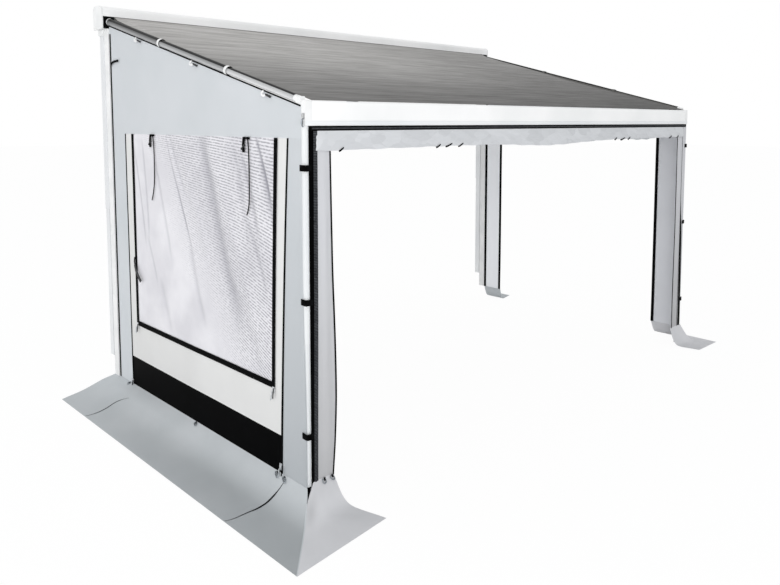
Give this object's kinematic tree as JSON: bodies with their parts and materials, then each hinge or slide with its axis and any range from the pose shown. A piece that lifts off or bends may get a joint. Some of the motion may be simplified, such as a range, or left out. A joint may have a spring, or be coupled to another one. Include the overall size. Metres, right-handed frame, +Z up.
{
  "type": "awning tent",
  "caption": "Wall-mounted cassette awning with a canopy, folding arms, telescoping legs and roof rafters, and zipped side and front fabric with ground skirts.",
  "frame": {"origin": "centre of the middle wall bracket's face, 2.78 m above the ground", "axes": "+X along the vehicle to the right as seen from in front, +Y towards the vehicle's wall, +Z up"},
  "size_m": [4.961, 2.877, 2.866],
  "materials": {
    "white_paint": "satin white powder coat on aluminium",
    "white_plastic": "satin",
    "raw_aluminium": "anodised satin",
    "zinc_steel": "zinc plated",
    "grey_fabric": "light grey coated polyester",
    "white_fabric": "white coated polyester",
    "black_fabric": "black coated polyester",
    "canopy_fabric": "grey woven canopy cloth with fine streaks across",
    "window_film": "milky flexible film",
    "skirt_fabric": "blue-grey coated skirt cloth",
    "black_plastic": "matt"
  },
  "bodies": {
    "awning": {"cassette_housing": "white_paint", "cassette_cap_left": "white_plastic", "cassette_cap_right": "white_plastic", "wall_bracket_left": "zinc_steel", "wall_bracket_middle": "zinc_steel", "wall_bracket_right": "zinc_steel", "arm_bracket_left": "raw_aluminium", "arm_bracket_right": "raw_aluminium", "rear_pole_head_left": "white_plastic", "rear_pole_head_right": "white_plastic", "rear_pole_upper_left": "raw_aluminium", "rear_pole_upper_right": "raw_aluminium", "rear_pad_left": "white_fabric", "rear_pad_right": "white_fabric", "rafter_rear_left": "white_paint", "rafter_rear_right": "white_paint", "gable_left": "grey_fabric", "gable_right": "grey_fabric", "rear_strip_left": "grey_fabric", "rear_strip_right": "grey_fabric", "side_front_strip_left": "grey_fabric", "side_front_strip_right": "grey_fabric", "canopy": "canopy_fabric", "window_surround": "white_fabric", "window_film": "window_film", "kick_panel": "black_fabric", "left_skirt": "skirt_fabric", "rear_skirt_right": "skirt_fabric"},
    "front_rail": {"lead_rail": "white_paint", "rail_cap_left": "white_plastic", "rail_cap_right": "white_plastic", "wrist_bracket_left": "raw_aluminium", "wrist_bracket_right": "raw_aluminium", "rafter_middle_left": "white_paint", "rafter_middle_right": "white_paint", "rafter_front_left": "white_paint", "rafter_front_right": "white_paint", "front_strip_left": "grey_fabric", "front_strip_right": "grey_fabric", "front_skirt_left": "skirt_fabric", "front_skirt_right": "skirt_fabric", "front_roll": "grey_fabric", "top_zip_band": "black_fabric"},
    "roller": {"fabric_roller": "canopy_fabric", "worm_wheel": "zinc_steel"},
    "winch": {"winch_worm": "zinc_steel"},
    "upper_arm_left": {"upper_arm_left": "raw_aluminium"},
    "forearm_left": {"forearm_left": "raw_aluminium"},
    "leg_left": {"leg_outer_left": "white_paint"},
    "leg_foot_left": {"leg_inner_left": "raw_aluminium", "foot_left": "black_plastic"},
    "leg_knob_left": {"leg_knob_left": "black_plastic"},
    "rear_pole_left": {"rear_pole_lower_left": "raw_aluminium"},
    "upper_arm_right": {"upper_arm_right": "raw_aluminium"},
    "forearm_right": {"forearm_right": "raw_aluminium"},
    "leg_right": {"leg_outer_right": "white_paint"},
    "leg_foot_right": {"leg_inner_right": "raw_aluminium", "foot_right": "black_plastic"},
    "leg_knob_right": {"leg_knob_right": "black_plastic"},
    "rear_pole_right": {"rear_pole_lower_right": "raw_aluminium"}
  },
  "joints": [
    {"name": "canopy_tension", "type": "slide", "parent": "awning", "child": "front_rail", "axis": [0, 0.9664, 0.2571], "range_m": [0, 0.15], "deforming": ["left_skirt", "front_skirt_left", "front_skirt_right", "rear_skirt_right"]},
    {"name": "roller_turn", "type": "hinge", "parent": "awning", "child": "roller", "pos_m": [0, -0.085, -0.01], "axis": [1, 0, 0], "range_deg": [-262, 0]},
    {"name": "winch_turn", "type": "hinge", "parent": "awning", "child": "winch", "pos_m": [2.1075, -0.1265, -0.08], "axis": [0, 0, 1], "range_deg": [0, 1830]},
    {"name": "shoulder_left", "type": "hinge", "parent": "awning", "child": "upper_arm_left", "pos_m": [-1.75, -0.15, -0.053], "axis": [0, -0.2571, 0.9664], "range_deg": [0, 7.1]},
    {"name": "elbow_left", "type": "hinge", "parent": "upper_arm_left", "child": "forearm_left", "pos_m": [-1.20937, -1.2925, -0.357], "axis": [0, -0.2571, 0.9664], "range_deg": [-14.2, 0]},
    {"name": "leg_fold_left", "type": "hinge", "parent": "front_rail", "child": "leg_left", "pos_m": [-2.1355, -2.48185, -0.748], "axis": [0, -1, 0], "range_deg": [0, 90]},
    {"name": "leg_length_left", "type": "slide", "parent": "leg_left", "child": "leg_foot_left", "axis": [0, 0, 1], "range_m": [-0.08, 0.75]},
    {"name": "leg_knob_turn_left", "type": "hinge", "parent": "leg_left", "child": "leg_knob_left", "pos_m": [-2.1167, -2.48185, -1.82], "axis": [1, 0, 0], "range_deg": [0, 180]},
    {"name": "rear_pole_length_left", "type": "slide", "parent": "awning", "child": "rear_pole_left", "axis": [0, 0, 1], "range_m": [-0.18, 1]},
    {"name": "shoulder_right", "type": "hinge", "parent": "awning", "child": "upper_arm_right", "pos_m": [1.75, -0.15, -0.053], "axis": [0, -0.2571, 0.9664], "range_deg": [-7.1, 0]},
    {"name": "elbow_right", "type": "hinge", "parent": "upper_arm_right", "child": "forearm_right", "pos_m": [1.20937, -1.2925, -0.357], "axis": [0, -0.2571, 0.9664], "range_deg": [0, 14.2]},
    {"name": "leg_fold_right", "type": "hinge", "parent": "front_rail", "child": "leg_right", "pos_m": [2.1355, -2.48185, -0.748], "axis": [0, 1, 0], "range_deg": [0, 90]},
    {"name": "leg_length_right", "type": "slide", "parent": "leg_right", "child": "leg_foot_right", "axis": [0, 0, 1], "range_m": [-0.08, 0.75]},
    {"name": "leg_knob_turn_right", "type": "hinge", "parent": "leg_right", "child": "leg_knob_right", "pos_m": [2.1167, -2.48185, -1.82], "axis": [1, 0, 0], "range_deg": [0, 180]},
    {"name": "rear_pole_length_right", "type": "slide", "parent": "awning", "child": "rear_pole_right", "axis": [0, 0, 1], "range_m": [-0.18, 1]}
  ],
  "couplings": [
    {"joint": "roller_turn", "follows": "canopy_tension", "rad_per_m": -30.303},
    {"joint": "winch_turn", "follows": "canopy_tension", "rad_per_m": 212.12},
    {"joint": "shoulder_left", "follows": "canopy_tension", "rad_per_m": 0.81744},
    {"joint": "elbow_left", "follows": "canopy_tension", "rad_per_m": -1.6349},
    {"joint": "shoulder_right", "follows": "canopy_tension", "rad_per_m": -0.81744},
    {"joint": "elbow_right", "follows": "canopy_tension", "rad_per_m": 1.6349}
  ]
}
